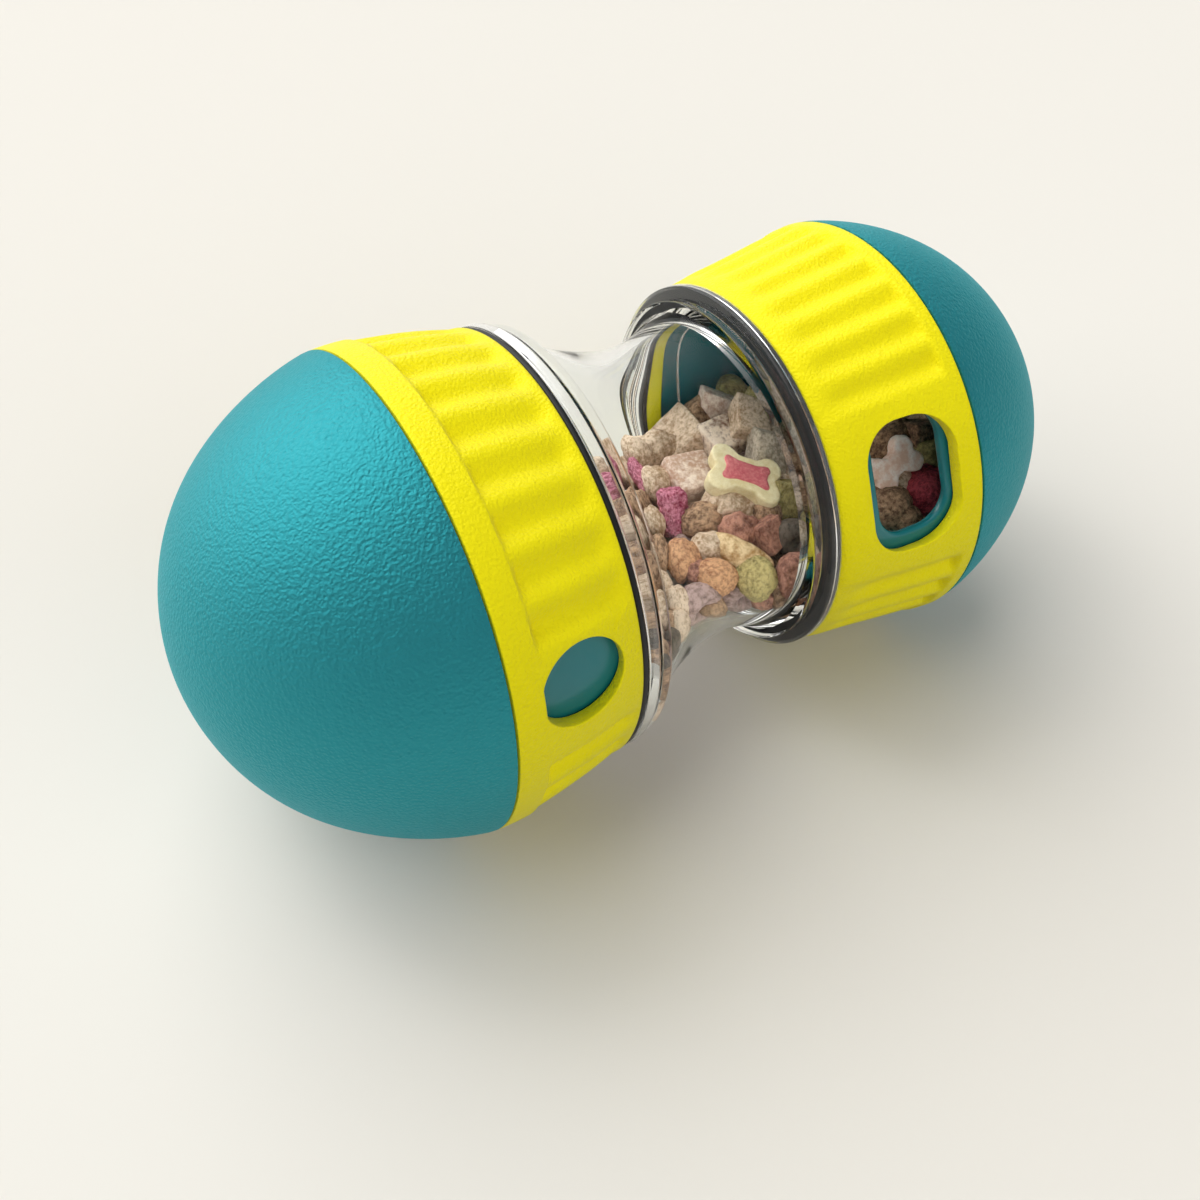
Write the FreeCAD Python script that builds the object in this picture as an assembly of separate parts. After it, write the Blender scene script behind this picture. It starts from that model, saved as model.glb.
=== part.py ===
import FreeCAD, Part
from FreeCAD import Vector
import math
import os

os.makedirs("parts", exist_ok=True)

# Treat roller: clear waisted tube between two hollow ends, all turned about one axis.
# Everything is drawn along +X with the axis at zero, then laid on the floor at the end.
# Left is the large closed end at -X, right is the smaller open end at +X. Units are mm.

# sizes read off the photo, scaled to an 84 mm wide large dome
left_seam_radius = 42.0
right_seam_radius = 37.1
left_dome_height = 37.6
right_dome_height = 32.0
left_ring_width = 24.6
right_ring_width = 27.1
waist_length = 41.7
left_band_width = 5.4
right_band_width = 2.5
left_ring_taper = 3.9
right_ring_taper = 3.4
neck_from_left_edge = 26.8
neck_depth = 6.55

# clearances
seam_gap = 0.3
running_gap = 0.05
relief_gap = 0.3
face_gap = 0.05
stop_gap_deg = 0.5
seam_deg = 300.0
bead_clearance = 0.25
left_flange_inset = 0.2
right_flange_inset = 0.4

# walls
dome_wall = 2.05
tube_wall = 2.3
sleeve_wall = 2.2
left_ring_wall = 2.8
right_ring_wall = 2.8

# fit of each end on the clear tube: the web of the ring reaches in to the spigot
left_web_width = 3.3
left_web = 2.6
left_spigot_length = 5.0
left_gasket_thickness = 1.05
right_web_width = 3.2
right_web = 2.8
right_spigot_length = 7.2
right_gasket_thickness = 0.95

# each ring has a bore that narrows from the open end to the web
left_bore_taper = 2.0
right_bore_taper = 1.5

# adjuster: window travel between open and shut, snap groove and stop peg
travel_deg = 60.0
peg_deg = 8.0
left_peg_deg = 250.0
right_peg_deg = 250.0
groove_inset = 1.7
left_groove_depth = 1.05
right_groove_depth = 1.2
left_socket_depth = 4.6
right_socket_depth = 4.2
collar_seat_gap = 0.2
left_window_deg = 74.0
right_window_deg = 64.2
left_window_from_step = 7.4
left_window_half_length = 7.8
left_window_half_height = 7.2
left_window_flat_from_step = 0.1
right_window_from_step = 10.25
right_window_width = 16.7
right_window_height = 23.4
right_window_corner = 7.2
sleeve_window_margin = 2.0
sleeve_window_lag_deg = 1.5

# grip flutes
flute_count = 30
flute_cutter_radius = 5.0
left_flute_depth = 2.0
right_flute_depth = 1.2
left_pad_half_deg = 19.1
left_pad_deg = 76.9
right_pad_half_deg = 30.5
right_pad_deg = 65.0

# the right pad is thinned from inside so that the window has a slim rim
right_pad_wall = 1.2
right_pocket_half_deg = 25.0
right_pocket_from_edge = 4.6
right_pocket_from_step = 1.5

# places along the axis, from the waist outward
left_edge_x = -19.3
right_edge_x = left_edge_x + waist_length
left_seam_x = left_edge_x - left_ring_width
right_seam_x = right_edge_x + right_ring_width
left_step_x = left_seam_x + left_band_width
right_step_x = right_seam_x - right_band_width
neck_x = left_edge_x + neck_from_left_edge
left_window_x = left_step_x + left_window_from_step
left_window_flat_x = left_step_x + left_window_flat_from_step
right_window_x = right_step_x - right_window_from_step
right_pocket_start_x = right_edge_x + right_pocket_from_edge
right_pocket_end_x = right_step_x - right_pocket_from_step
left_web_inner_x = left_edge_x - left_web
right_web_inner_x = right_edge_x + right_web
left_ring_end_x = left_seam_x + seam_gap
right_ring_end_x = right_seam_x - seam_gap
left_groove_x = left_ring_end_x + groove_inset
right_groove_x = right_ring_end_x - groove_inset
left_flange_x = left_edge_x + face_gap + left_gasket_thickness
right_flange_x = right_edge_x - face_gap - right_gasket_thickness

# radii that follow from the seam radii, from outside inward
left_edge_radius = left_seam_radius - left_ring_taper
right_edge_radius = right_seam_radius - right_ring_taper
left_bore_large = left_seam_radius - left_ring_wall
right_bore_large = right_seam_radius - right_ring_wall
left_bore_small = left_bore_large - left_bore_taper
right_bore_small = right_bore_large - right_bore_taper
left_spigot_radius = left_bore_small - left_web_width
right_spigot_radius = right_bore_small - right_web_width
left_flange_radius = left_edge_radius - left_flange_inset
right_flange_radius = right_edge_radius - right_flange_inset
neck_radius = right_flange_radius - neck_depth


def point(x, r):
    return Vector(x, 0, r)


def line(a, b):
    return Part.makeLine(point(*a), point(*b))


def path(points):
    return [line(points[i], points[i + 1]) for i in range(len(points) - 1)]


def spline(points, start=None, end=None):
    curve = Part.BSplineCurve()
    places = [point(*p) for p in points]
    if start is None and end is None:
        curve.interpolate(places)
    else:
        first = start or (points[1][0] - points[0][0], points[1][1] - points[0][1])
        last = end or (points[-1][0] - points[-2][0], points[-1][1] - points[-2][1])
        curve.interpolate(Points=places, InitialTangent=point(*first), FinalTangent=point(*last))
    return curve.toShape()


def spun(shape, degrees):
    copy = shape.copy()
    copy.rotate(Vector(0, 0, 0), Vector(1, 0, 0), degrees)
    return copy


# Full turns start well away from the windows, so that no window lies across a seam of the surface.
def turned(edges, degrees=360.0):
    wire = Part.Wire(edges)
    face = Part.Face(wire)
    solid = face.revolve(Vector(0, 0, 0), Vector(1, 0, 0), degrees)
    return spun(solid, seam_deg) if degrees == 360.0 else solid


# Radii of the tapered bore of each ring, which the sleeve follows.
def left_bore(x):
    share = (left_web_inner_x - x) / (left_web_inner_x - left_ring_end_x)
    return left_bore_small + (left_bore_large - left_bore_small) * share


def right_bore(x):
    share = (x - right_web_inner_x) / (right_ring_end_x - right_web_inner_x)
    return right_bore_small + (right_bore_large - right_bore_small) * share


left_groove_radius = left_bore(left_groove_x) + left_groove_depth
right_groove_radius = right_bore(right_groove_x) + right_groove_depth


# A point part of the way from one (x, radius) point to another.
def between(start, end, x_share, radius_share):
    return start[0] + (end[0] - start[0]) * x_share, start[1] + (end[1] - start[1]) * radius_share


# Clear waist tube: spigot, flange, bead and flare at each end, narrow neck between.
def clear_waist():
    left_end = left_flange_x - left_spigot_length
    right_end = right_flange_x + right_spigot_length
    left_root = left_flange_radius - 1.7
    left_rib = left_flange_radius - 0.9
    flare_start = (left_flange_x + 5.0, left_flange_radius - 2.7)
    flare_end = (right_flange_x - 3.3, right_flange_radius - 3.7)
    neck = (neck_x, neck_radius)
    rib = right_flange_radius - 1.5
    outer = path([
        (left_end, left_spigot_radius - tube_wall),
        (left_end, left_spigot_radius - 0.4),
        (left_end + 0.4, left_spigot_radius),
        (left_flange_x, left_spigot_radius),
        (left_flange_x, left_flange_radius - 0.3),
        (left_flange_x + 0.3, left_flange_radius),
        (left_flange_x + 2.0, left_flange_radius),
        (left_flange_x + 2.3, left_flange_radius - 0.3),
        (left_flange_x + 2.3, left_root),
        (left_flange_x + 2.9, left_root),
        (left_flange_x + 2.9, left_rib - 0.3),
        (left_flange_x + 3.2, left_rib),
        (left_flange_x + 4.5, left_rib),
        (left_flange_x + 5.0, left_rib - 0.5),
        flare_start,
    ])
    flare = [
        flare_start,
        between(flare_start, neck, 0.245, 0.42),
        between(flare_start, neck, 0.528, 0.75),
        between(flare_start, neck, 0.764, 0.94),
        neck,
        between(neck, flare_end, 0.538, 0.2),
        flare_end,
    ]
    right = path([
        flare_end,
        (right_flange_x - 3.3, rib - 0.4),
        (right_flange_x - 3.0, rib),
        (right_flange_x - 1.9, rib),
        (right_flange_x - 1.7, rib - 0.3),
        (right_flange_x - 1.7, rib - 0.7),
        (right_flange_x - 1.3, rib - 0.7),
        (right_flange_x - 1.3, right_flange_radius - 0.3),
        (right_flange_x - 1.0, right_flange_radius),
        (right_flange_x - 0.3, right_flange_radius),
        (right_flange_x, right_flange_radius - 0.3),
        (right_flange_x, right_spigot_radius),
        (right_end - 0.4, right_spigot_radius),
        (right_end, right_spigot_radius - 0.4),
        (right_end, right_spigot_radius - tube_wall),
        (right_flange_x - 1.0, right_spigot_radius - tube_wall),
    ])
    left_mouth = (left_flange_x + 1.0, left_spigot_radius - tube_wall)
    right_mouth = (right_flange_x - 1.0, right_spigot_radius - tube_wall)
    throat_right = (neck_x + 4.0, neck_radius - tube_wall + 0.2)
    throat_left = (neck_x - 0.5, neck_radius - tube_wall)
    inside = [
        right_mouth,
        between(throat_right, right_mouth, 0.526, 0.733),
        throat_right,
        throat_left,
        between(throat_left, left_mouth, 0.183, 0.063),
        between(throat_left, left_mouth, 0.385, 0.3),
        between(throat_left, left_mouth, 0.628, 0.67),
        left_mouth,
    ]
    back = path([
        left_mouth,
        (left_end, left_spigot_radius - tube_wall),
    ])
    return turned(outer + [spline(flare)] + right + [spline(inside)] + back)


def gasket(x, thickness, inner, outer):
    return turned(path([
        (x, inner),
        (x, outer - 0.15),
        (x + 0.15, outer),
        (x + thickness - 0.15, outer),
        (x + thickness, outer - 0.15),
        (x + thickness, inner),
        (x, inner),
    ]))


# One window, cut straight through the wall from inside out, turned to its angle.
def prism(wire, degrees):
    face = Part.Face(wire)
    solid = face.extrude(Vector(0, 0, 24))
    return spun(solid, degrees)


def left_window(degrees):
    base = left_spigot_radius - 5.9
    middle = Vector(left_window_x, 0, base)
    oval = Part.Ellipse(middle, left_window_half_length, left_window_half_height)
    solid = prism(Part.Wire(oval.toShape()), 0)
    side = 4 * left_window_half_length
    corner = Vector(left_window_flat_x - side, -side / 2, base - side / 2)
    return spun(solid.cut(Part.makeBox(side, side, 2 * side, corner)), degrees)


def right_window(degrees, margin=0.0):
    half_x = right_window_width / 2 - margin
    half_y = right_window_height / 2 - margin
    corner = right_window_corner - margin
    base = right_spigot_radius - 5.6
    bend = corner * (1 - math.sqrt(0.5))
    edges = []
    signs = [(1, 1), (-1, 1), (-1, -1), (1, -1)]
    for index, (sx, sy) in enumerate(signs):
        side = Vector(right_window_x + sx * half_x, sy * (half_y - corner), base)
        end = Vector(right_window_x + sx * (half_x - corner), sy * half_y, base)
        middle = Vector(right_window_x + sx * (half_x - bend), sy * (half_y - bend), base)
        first, last = (side, end) if index % 2 == 0 else (end, side)
        edges.append(Part.Arc(first, middle, last).toShape())
        nx, ny = signs[(index + 1) % 4]
        if index % 2 == 0:
            after = Vector(right_window_x + nx * (half_x - corner), ny * half_y, base)
        else:
            after = Vector(right_window_x + nx * half_x, ny * (half_y - corner), base)
        edges.append(Part.makeLine(last, after))
    return prism(Part.Wire(edges), degrees)


# Flutes are scooped with a round cutter that enters at the step and runs out at the waist side.
def flutes(floor_points, pad_deg, pad_half_deg):
    lifted = [Vector(x, 0, r + flute_cutter_radius) for x, r in floor_points]
    if len(lifted) == 2:
        way = lifted[1] - lifted[0]
        tool = Part.makeCylinder(flute_cutter_radius, way.Length, lifted[0], way)
    else:
        curve = Part.Arc(*lifted).toShape()
        start = curve.valueAt(curve.FirstParameter)
        way = curve.tangentAt(curve.FirstParameter)
        ring = Part.Wire(Part.Circle(start, way, flute_cutter_radius).toShape())
        tool = Part.Wire(curve).makePipeShell([ring], True, False)
    pitch = (360.0 - 2 * pad_half_deg) / (flute_count - 1)
    first = pad_deg + pad_half_deg
    return [spun(tool, first + pitch * index) for index in range(flute_count)]


def groove_blank(x0, x1, inner, outer, degrees):
    return turned(path([(x0, inner), (x0, outer), (x1, outer), (x1, inner), (x0, inner)]), degrees)


# Grip rings: fluted outside, tapered bore, thin web that grips the waist spigot.
def left_grip_ring():
    outside = [
        (left_ring_end_x, left_seam_radius - 0.05),
        (left_step_x - 1.0, left_seam_radius - 0.05),
        (left_step_x + 2.8, left_seam_radius - 0.45),
        (left_edge_x - 8.2, left_seam_radius - 1.8),
        (left_edge_x, left_edge_radius),
    ]
    rest = path([
        (left_edge_x, left_edge_radius),
        (left_edge_x, left_spigot_radius + running_gap),
        (left_web_inner_x, left_spigot_radius + running_gap),
        (left_web_inner_x, left_bore(left_web_inner_x)),
        (left_ring_end_x, left_bore(left_ring_end_x)),
        (left_ring_end_x, left_seam_radius - 0.05),
    ])
    solid = turned([spline(outside)] + rest)
    floor = [
        (left_step_x, left_seam_radius - left_flute_depth),
        (left_edge_x - 1.0, left_edge_radius + 0.25),
    ]
    solid = solid.cut(flutes(floor, left_pad_deg, left_pad_half_deg))
    open_air = left_bore(left_groove_x) - 1.0
    groove = groove_blank(left_groove_x - 0.7, left_groove_x + 0.7, open_air, left_groove_radius, 360)
    peg = groove_blank(
        left_groove_x - 1.0, left_groove_x + 1.0, open_air - 0.1, left_groove_radius + 1, peg_deg)
    groove = groove.cut(spun(peg, left_peg_deg - peg_deg / 2))
    return solid.cut([groove, left_window(left_window_deg)])


def right_pocket(outside):
    inside = [(x, r - right_pad_wall) for x, r in outside[2:-1]]
    open_air = right_bore_small - 1.8
    profile = path([
        (right_pocket_start_x, open_air),
        (right_pocket_start_x, outside[2][1] - right_pad_wall - 0.15),
        *inside,
        (right_pocket_end_x, outside[-1][1] - right_pad_wall - 0.2),
        (right_pocket_end_x, open_air),
        (right_pocket_start_x, open_air),
    ])
    block = turned(profile, 2 * right_pocket_half_deg)
    return spun(block, right_window_deg - right_pocket_half_deg)


def right_grip_ring():
    outside = [
        (right_edge_x, right_edge_radius),
        (right_edge_x + 1.8, right_edge_radius + 0.85),
        (right_step_x - 15.8, right_seam_radius - 2.1),
        (right_step_x - 6.8, right_seam_radius - 0.95),
        (right_step_x, right_seam_radius - 0.15),
    ]
    rest = path([
        (right_step_x, right_seam_radius - 0.15),
        (right_step_x + 0.2, right_seam_radius + 0.1),
        (right_ring_end_x, right_seam_radius + 0.05),
        (right_ring_end_x, right_bore(right_ring_end_x)),
        (right_web_inner_x, right_bore(right_web_inner_x)),
        (right_web_inner_x, right_spigot_radius + running_gap),
        (right_edge_x, right_spigot_radius + running_gap),
        (right_edge_x, right_edge_radius),
    ])
    solid = turned([spline(outside)] + rest)
    floor = [
        (right_step_x, right_seam_radius - right_flute_depth),
        (right_step_x - 12.0, right_seam_radius - 2.5),
        (right_edge_x + 1.2, right_seam_radius - 2.1),
    ]
    solid = solid.cut(flutes(floor, right_pad_deg, right_pad_half_deg))
    open_air = right_bore(right_groove_x) - 1.2
    groove = groove_blank(
        right_groove_x - 0.7, right_groove_x + 0.7, open_air, right_groove_radius, 360)
    peg = groove_blank(
        right_groove_x - 1, right_groove_x + 1, open_air - 0.1, right_groove_radius + 1, peg_deg)
    groove = groove.cut(spun(peg, right_peg_deg - peg_deg / 2))
    return solid.cut([groove, right_pocket(outside), right_window(right_window_deg)])


# Snap bead and its groove hold each sleeve in its ring, and a peg in the groove limits the turn.
def bead_gap(x, inner, outer, peg_at):
    start = peg_at - peg_deg / 2 - travel_deg - stop_gap_deg
    sweep = travel_deg + peg_deg + 2 * stop_gap_deg
    return spun(groove_blank(x - 0.8, x + 0.8, inner, outer + 1, sweep), start)


# Metering sleeves: tapered tube with one window, two bearing lands and the snap bead.
def left_metering_sleeve():
    start = left_web_inner_x - 0.3
    stop = left_ring_end_x
    end = left_seam_x - left_socket_depth + collar_seat_gap

    def low(x):
        return (x, left_bore(x) - relief_gap)

    def high(x):
        return (x, left_bore(x) - running_gap)

    bead = left_groove_radius - bead_clearance
    near = left_groove_x + 0.45
    far = left_groove_x - 0.45
    collar = left_seam_radius - dome_wall
    profile = path([
        (start, left_bore(start) - sleeve_wall),
        high(start), high(start - 0.9), low(start - 1.0),
        low(left_window_flat_x - 0.4), high(left_window_flat_x - 0.5), high(near + 0.5), low(near + 0.4),
        low(near), (near, bead), (far, bead), low(far), low(stop - 0.2),
        (stop - 0.2, collar), (end, collar), (end, left_bore(stop) - sleeve_wall),
        (start, left_bore(start) - sleeve_wall),
    ])
    solid = turned(profile)
    gap = bead_gap(left_groove_x, left_bore(left_groove_x) - relief_gap, bead, left_peg_deg)
    return solid.cut([gap, left_window(left_window_deg - travel_deg)])


def right_metering_sleeve():
    start = right_web_inner_x + 0.3
    stop = right_ring_end_x
    end = right_seam_x + right_socket_depth - collar_seat_gap

    def low(x):
        return (x, right_bore(x) - relief_gap)

    def high(x):
        return (x, right_bore(x) - running_gap)

    bead = right_groove_radius - bead_clearance
    near = right_groove_x - 0.45
    far = right_groove_x + 0.45
    collar = right_seam_radius - dome_wall
    profile = path([
        (start, right_bore(start) - sleeve_wall),
        high(start), high(start + 2.0), low(start + 2.1),
        low(near - 1.4), high(near - 1.3), high(near - 0.5), low(near - 0.4),
        low(near), (near, bead), (far, bead), low(far), low(stop + 0.2),
        (stop + 0.2, collar), (end, collar), (end, right_bore(stop) - sleeve_wall),
        (start, right_bore(start) - sleeve_wall),
    ])
    solid = turned(profile)
    gap = bead_gap(right_groove_x, right_bore(right_groove_x) - relief_gap, bead, right_peg_deg)
    return solid.cut([gap, right_window(right_window_deg - sleeve_window_lag_deg, sleeve_window_margin)])


# Dome: slightly pointed cap with an even wall and a socket that takes the sleeve collar.
def dome_radius(u, radius, squareness, lean):
    return radius * (1 + lean * u * (1 - u)) * (1 - u ** squareness) ** (1 / squareness)


def dome_curve(seam_x, radius, height, way):
    shares = [0, 0.2, 0.4, 0.6, 0.78, 0.92, 1]
    places = [(seam_x + way * u * height, dome_radius(u, radius, 1.9, -0.16)) for u in shares]
    return places, spline(places, end=(0, -1))


def dome_cap(seam_x, radius, height, way, socket_depth):
    places, outside = dome_curve(seam_x, radius, height, way)
    inner_radius = radius - dome_wall
    socket_x = seam_x + way * socket_depth
    step = inner_radius - 0.9
    inner_places, inside = dome_curve(socket_x, step, height - socket_depth - dome_wall, way)
    tip = places[-1]
    inner_tip = inner_places[-1]
    closing = path([inner_tip, tip])
    rim = path([
        (seam_x, radius),
        (seam_x, inner_radius),
        (socket_x, inner_radius),
        (socket_x, step),
    ])
    return turned(rim + [inside] + closing + [outside])


pieces = {
    "clear_waist_tube": clear_waist(),
    "left_gasket": gasket(
        left_edge_x + face_gap, left_gasket_thickness, left_spigot_radius, left_flange_radius),
    "right_gasket": gasket(
        right_flange_x, right_gasket_thickness, right_spigot_radius, right_flange_radius),
    "left_grip_ring": left_grip_ring(),
    "right_grip_ring": right_grip_ring(),
    "left_metering_sleeve": left_metering_sleeve(),
    "right_metering_sleeve": right_metering_sleeve(),
    "left_dome_cap": dome_cap(
        left_seam_x, left_seam_radius, left_dome_height, -1, left_socket_depth),
    "right_dome_cap": dome_cap(
        right_seam_x, right_seam_radius, right_dome_height, 1, right_socket_depth),
}

# The smaller end hangs lower when both ends touch the floor.
left_touch_x = left_step_x - 1.0
right_touch_x = right_seam_x
drop = left_seam_radius - right_seam_radius
lay_deg = math.degrees(math.atan(drop / (right_touch_x - left_touch_x)))

laid = {}
for name, shape in pieces.items():
    shape.rotate(Vector(0, 0, 0), Vector(0, 1, 0), lay_deg)
    laid[name] = shape

spots = []
for name in ("left_dome_cap", "right_dome_cap", "left_grip_ring", "right_grip_ring"):
    spots += laid[name].tessellate(0.05)[0]
shift_x = -(min(p.x for p in spots) + max(p.x for p in spots)) / 2
shift_z = -min(p.z for p in spots)

for name, shape in laid.items():
    shape.translate(Vector(shift_x, 0, shift_z))
    print(name, "solids", len(shape.Solids), "valid", shape.isValid(), "volume", round(shape.Volume, 1))
    shape.exportStep("parts/" + name + ".step")

print("lay angle", round(lay_deg, 4), "shift", round(shift_x, 4), round(shift_z, 4))
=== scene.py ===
import bpy
import math
import random
import numpy as np
from mathutils import Matrix, Vector


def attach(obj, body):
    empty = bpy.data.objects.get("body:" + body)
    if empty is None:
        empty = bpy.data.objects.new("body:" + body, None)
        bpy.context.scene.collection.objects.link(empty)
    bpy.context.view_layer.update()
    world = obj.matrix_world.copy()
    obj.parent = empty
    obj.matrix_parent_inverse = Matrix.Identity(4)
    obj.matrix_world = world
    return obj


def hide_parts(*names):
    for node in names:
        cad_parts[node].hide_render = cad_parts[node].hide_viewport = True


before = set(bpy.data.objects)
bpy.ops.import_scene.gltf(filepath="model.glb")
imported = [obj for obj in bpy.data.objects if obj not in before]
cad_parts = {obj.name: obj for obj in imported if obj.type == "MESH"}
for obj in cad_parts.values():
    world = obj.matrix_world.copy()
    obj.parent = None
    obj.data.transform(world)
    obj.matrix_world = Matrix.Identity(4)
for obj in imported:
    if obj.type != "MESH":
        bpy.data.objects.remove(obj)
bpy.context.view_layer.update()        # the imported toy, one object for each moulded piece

mm = 0.001

# The toy is modelled along X with its axis at zero and then laid on the floor, where the
# smaller end hangs lower. Angles go round the axis from the top towards the viewer.
toy = {
    "tilt": math.radians(3.1513),
    "shiftX": 0.0057,
    "axisHeight": 39.7985,
}


# Modelling helpers. Every one of them starts and ends in object mode.

def setMode(mode):
    bpy.ops.object.mode_set(mode=mode)


def pick(*pieces):
    bpy.ops.object.select_all(action="DESELECT")
    for piece in pieces:
        piece.select_set(True)
    bpy.context.view_layer.objects.active = pieces[0]


def joined(*pieces):
    pick(*pieces)
    bpy.ops.object.join()
    return pieces[0]


def applyTransform():
    bpy.ops.object.transform_apply(location=True, rotation=True, scale=True)


def takeNew(name, stretch=None):
    piece = bpy.context.object
    piece.name = piece.data.name = name
    if stretch:
        bpy.ops.transform.resize(value=stretch)
        applyTransform()
    return piece


def modify(piece, kind, **settings):
    modifier = piece.modifiers.new(kind.lower(), kind)
    for key, value in settings.items():
        setattr(modifier, key, value)


def layDown(piece):
    pick(piece)
    piece.location = (toy["shiftX"] * mm, 0, toy["axisHeight"] * mm)
    piece.rotation_euler = (0, toy["tilt"], 0)
    applyTransform()


def smooth(piece, degrees):
    pick(piece)
    bpy.ops.object.shade_smooth_by_angle(angle=math.radians(degrees))


def dress(piece, look):
    piece.data.materials.clear()
    piece.data.materials.append(look)


def seat(piece, stands, body):      # laid on the floor and tied to the solid that it stands for
    layDown(piece)
    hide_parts(stands)
    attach(piece, body)


def editMesh(kind, action):
    setMode("EDIT")
    bpy.ops.mesh.select_mode(type=kind)
    bpy.ops.mesh.select_all(action=action)


def outside(piece):      # welded and cleared of loose bits, with every face turned outwards
    pick(piece)
    editMesh("VERT", "SELECT")
    bpy.ops.mesh.remove_doubles(threshold=0.002 * mm)
    bpy.ops.mesh.delete_loose(use_verts=True, use_edges=True, use_faces=False)
    bpy.ops.mesh.select_all(action="SELECT")
    bpy.ops.mesh.normals_make_consistent(inside=False)
    setMode("OBJECT")


def polar(x, radius, degrees):
    turn = math.radians(degrees)
    return Vector((x, -radius * math.sin(turn), radius * math.cos(turn))) * mm


def rounded(corners):      # closed outline of (x, radius, fillet), with the fillets drawn as short arcs
    steps = 4
    outline = []
    for index, (x, r, fillet) in enumerate(corners):
        here = Vector((x, r))
        if fillet == 0:
            outline.append((x, r))
            continue
        back = Vector(corners[index - 1][:2]) - here
        ahead = Vector(corners[(index + 1) % len(corners)][:2]) - here
        half = back.angle(ahead) / 2
        cut = min(fillet / math.tan(half), 0.48 * back.length, 0.48 * ahead.length)
        fillet = cut * math.tan(half)
        inwards = (back.normalized() + ahead.normalized()).normalized()
        middle = here + inwards * fillet / math.sin(half)
        first = here + back.normalized() * cut - middle
        last = here + ahead.normalized() * cut - middle
        sweep = first.angle_signed(last)
        for step in range(steps + 1):
            spoke = Matrix.Rotation(-sweep * step / steps, 2) @ first
            outline.append(tuple(middle + spoke))
    return outline


def along(points, x):      # height of a smooth spline through a few points, with even curvature
    places = np.array([p[0] for p in points], float)
    heights = np.array([p[1] for p in points], float)
    steps, rises = np.diff(places), np.diff(heights)
    count = len(points)
    ties, pulls = np.eye(count), np.zeros(count)
    for i in range(1, count - 1):
        ties[i, i - 1:i + 2] = steps[i - 1], 2 * (steps[i - 1] + steps[i]), steps[i]
        pulls[i] = 6 * (rises[i] / steps[i] - rises[i - 1] / steps[i - 1])
    bends = np.linalg.solve(ties, pulls)
    i = min(max(np.searchsorted(places, x) - 1, 0), count - 2)
    h, left, right = steps[i], x - places[i], places[i + 1] - x
    start, end = heights[i] / h - bends[i] * h / 6, heights[i + 1] / h - bends[i + 1] * h / 6
    return float((bends[i] * right ** 3 + bends[i + 1] * left ** 3) / (6 * h) + start * right + end * left)


def ease(t):
    t = min(max(t, 0), 1)
    return t * t * (3 - 2 * t)


def lathe(name, outline, steps):      # one corner is drawn along the closed outline and spun round the axis
    bpy.ops.mesh.primitive_plane_add(size=mm, location=(0, 0, 0))
    piece = takeNew(name)
    editMesh("VERT", "SELECT")
    bpy.ops.mesh.merge(type="CENTER")
    bpy.ops.transform.translate(value=(outline[0][0] * mm, 0, outline[0][1] * mm))
    for (x0, r0), (x1, r1) in zip(outline, outline[1:] + outline[:1]):
        move = ((x1 - x0) * mm, 0, (r1 - r0) * mm)
        bpy.ops.mesh.extrude_vertices_move(TRANSFORM_OT_translate={"value": move})
    bpy.ops.mesh.select_all(action="SELECT")
    bpy.ops.mesh.spin(steps=steps, angle=math.tau, center=(0, 0, 0), axis=(1, 0, 0))
    setMode("OBJECT")
    outside(piece)
    return piece


def grid(name, columns, rows):
    bpy.ops.mesh.primitive_grid_add(x_subdivisions=columns, y_subdivisions=rows, size=2)
    piece = takeNew(name)
    spots = {}
    for v in piece.data.vertices:
        spots[v.index] = (round((v.co.x + 1) / 2 * columns), round((v.co.y + 1) / 2 * rows))
    return piece, spots


# Rings and sleeves: a closed section is wrapped round the axis and one window is cut through it.
# Points of the section that are marked with a third value take the fluted radius.

def wrapSection(name, section, columns, radiusAt=None):
    piece, spots = grid(name, len(columns), len(section))
    for v in piece.data.vertices:
        i, j = spots[v.index]
        turn = columns[i % len(columns)]
        x, r, *fluted = section[j % len(section)]
        v.co = polar(x, radiusAt(x, r, turn) if fluted else r, turn)
    outside(piece)
    return piece


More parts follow.
